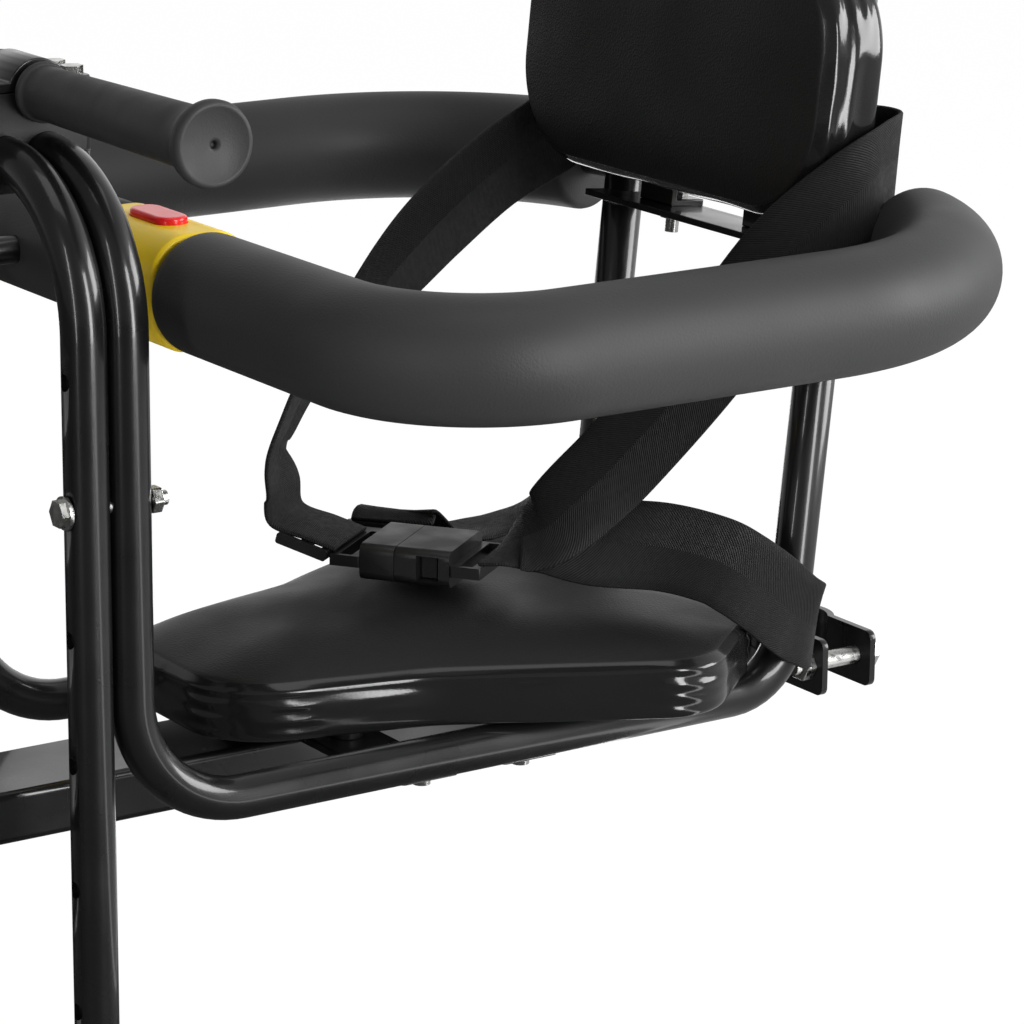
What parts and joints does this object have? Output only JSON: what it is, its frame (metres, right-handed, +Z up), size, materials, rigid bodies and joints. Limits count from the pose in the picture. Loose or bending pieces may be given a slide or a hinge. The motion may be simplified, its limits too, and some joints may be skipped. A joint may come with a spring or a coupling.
{
  "type": "child bicycle seat",
  "caption": "Front child seat for a bicycle: bent tube frame on a clamped spine, padded seat and backrest, foam guard ring with a locking gate, small handlebar, harness and footrest leg.",
  "frame": {"origin": "on the axis of the seat post clamp, at the middle of its height", "axes": "+Z up along the seat post clamp's axis, +Y to the rear of the bicycle, +X to the seated child's left"},
  "size_m": [0.46, 0.561, 0.5372],
  "materials": {
    "black_steel": "gloss black coat",
    "zinc": "bright zinc plate",
    "foam": "matte closed cell foam",
    "vinyl": "fine grain, glossy at the sides",
    "plywood": "raw",
    "webbing": "woven",
    "yellow_plastic": "satin moulded",
    "red_plastic": "gloss moulded",
    "black_plastic": "satin moulded",
    "grip_rubber": "matte moulded"
  },
  "bodies": {
    "frame": {"main_frame_tube": "black_steel", "rear_post_plugs": "black_plastic", "footrest_leg": "black_steel", "leg_bolts": "zinc", "leg_nuts": "zinc", "foot_sleeve_left": "grip_rubber", "foot_sleeve_right": "grip_rubber", "spine_beam": "black_steel", "slide_bar": "black_steel", "neck_bar": "black_steel", "beam_bolts": "zinc", "beam_grip_plates": "black_steel", "beam_nuts": "zinc", "seat_post_jaw_rear": "black_steel", "seat_post_jaw_front": "black_steel", "head_tube_jaw_rear": "black_steel", "head_tube_jaw_front": "black_steel", "clamp_bolts": "zinc", "clamp_nuts": "zinc", "seat_cross_bars": "black_steel", "seat_board": "plywood", "seat_pad": "vinyl", "seat_screws": "zinc", "seat_spacers": "black_plastic", "backrest_pad": "vinyl", "backrest_board": "plywood", "backrest_bar": "black_steel", "backrest_brackets": "black_steel", "backrest_bolts": "zinc", "backrest_nuts": "zinc", "backrest_screws": "zinc", "guard_tube": "black_steel", "guard_foam": "foam", "guard_stay": "black_steel", "pivot_clevis_left": "black_steel", "pivot_clevis_right": "black_steel", "pivot_bolts": "zinc", "pivot_nuts": "zinc", "lock_housing": "yellow_plastic", "lock_spring": "zinc", "lock_bracket": "black_steel", "handlebar_tube": "black_steel", "handlebar_saddle": "black_plastic", "handlebar_cap": "black_steel", "arch_plate": "black_plastic", "handlebar_bolts": "zinc", "handlebar_nuts": "zinc", "grip_left": "grip_rubber", "grip_right": "grip_rubber", "shoulder_strap_left": "webbing", "shoulder_strap_right": "webbing", "hip_strap_left": "webbing", "hip_strap_right": "webbing", "buckle_socket": "black_plastic", "buckle_plug": "black_plastic", "strap_adjuster": "black_plastic"},
    "gate": {"gate_tube": "black_steel", "gate_foam": "foam", "gate_tongue": "black_plastic"},
    "button": {"lock_button": "red_plastic"}
  },
  "joints": [
    {"name": "gate_hinge", "type": "hinge", "parent": "frame", "child": "gate", "pos_m": [0.088, -0.029, 0.21], "axis": [0, 0, 1], "range_deg": [0, 75]},
    {"name": "button_press", "type": "slide", "parent": "frame", "child": "button", "axis": [0, 0, -1], "range_m": [0, 0.003], "stiffness_N_per_m": 500, "springref_m": -0.002, "deforming": ["lock_spring"]}
  ]
}
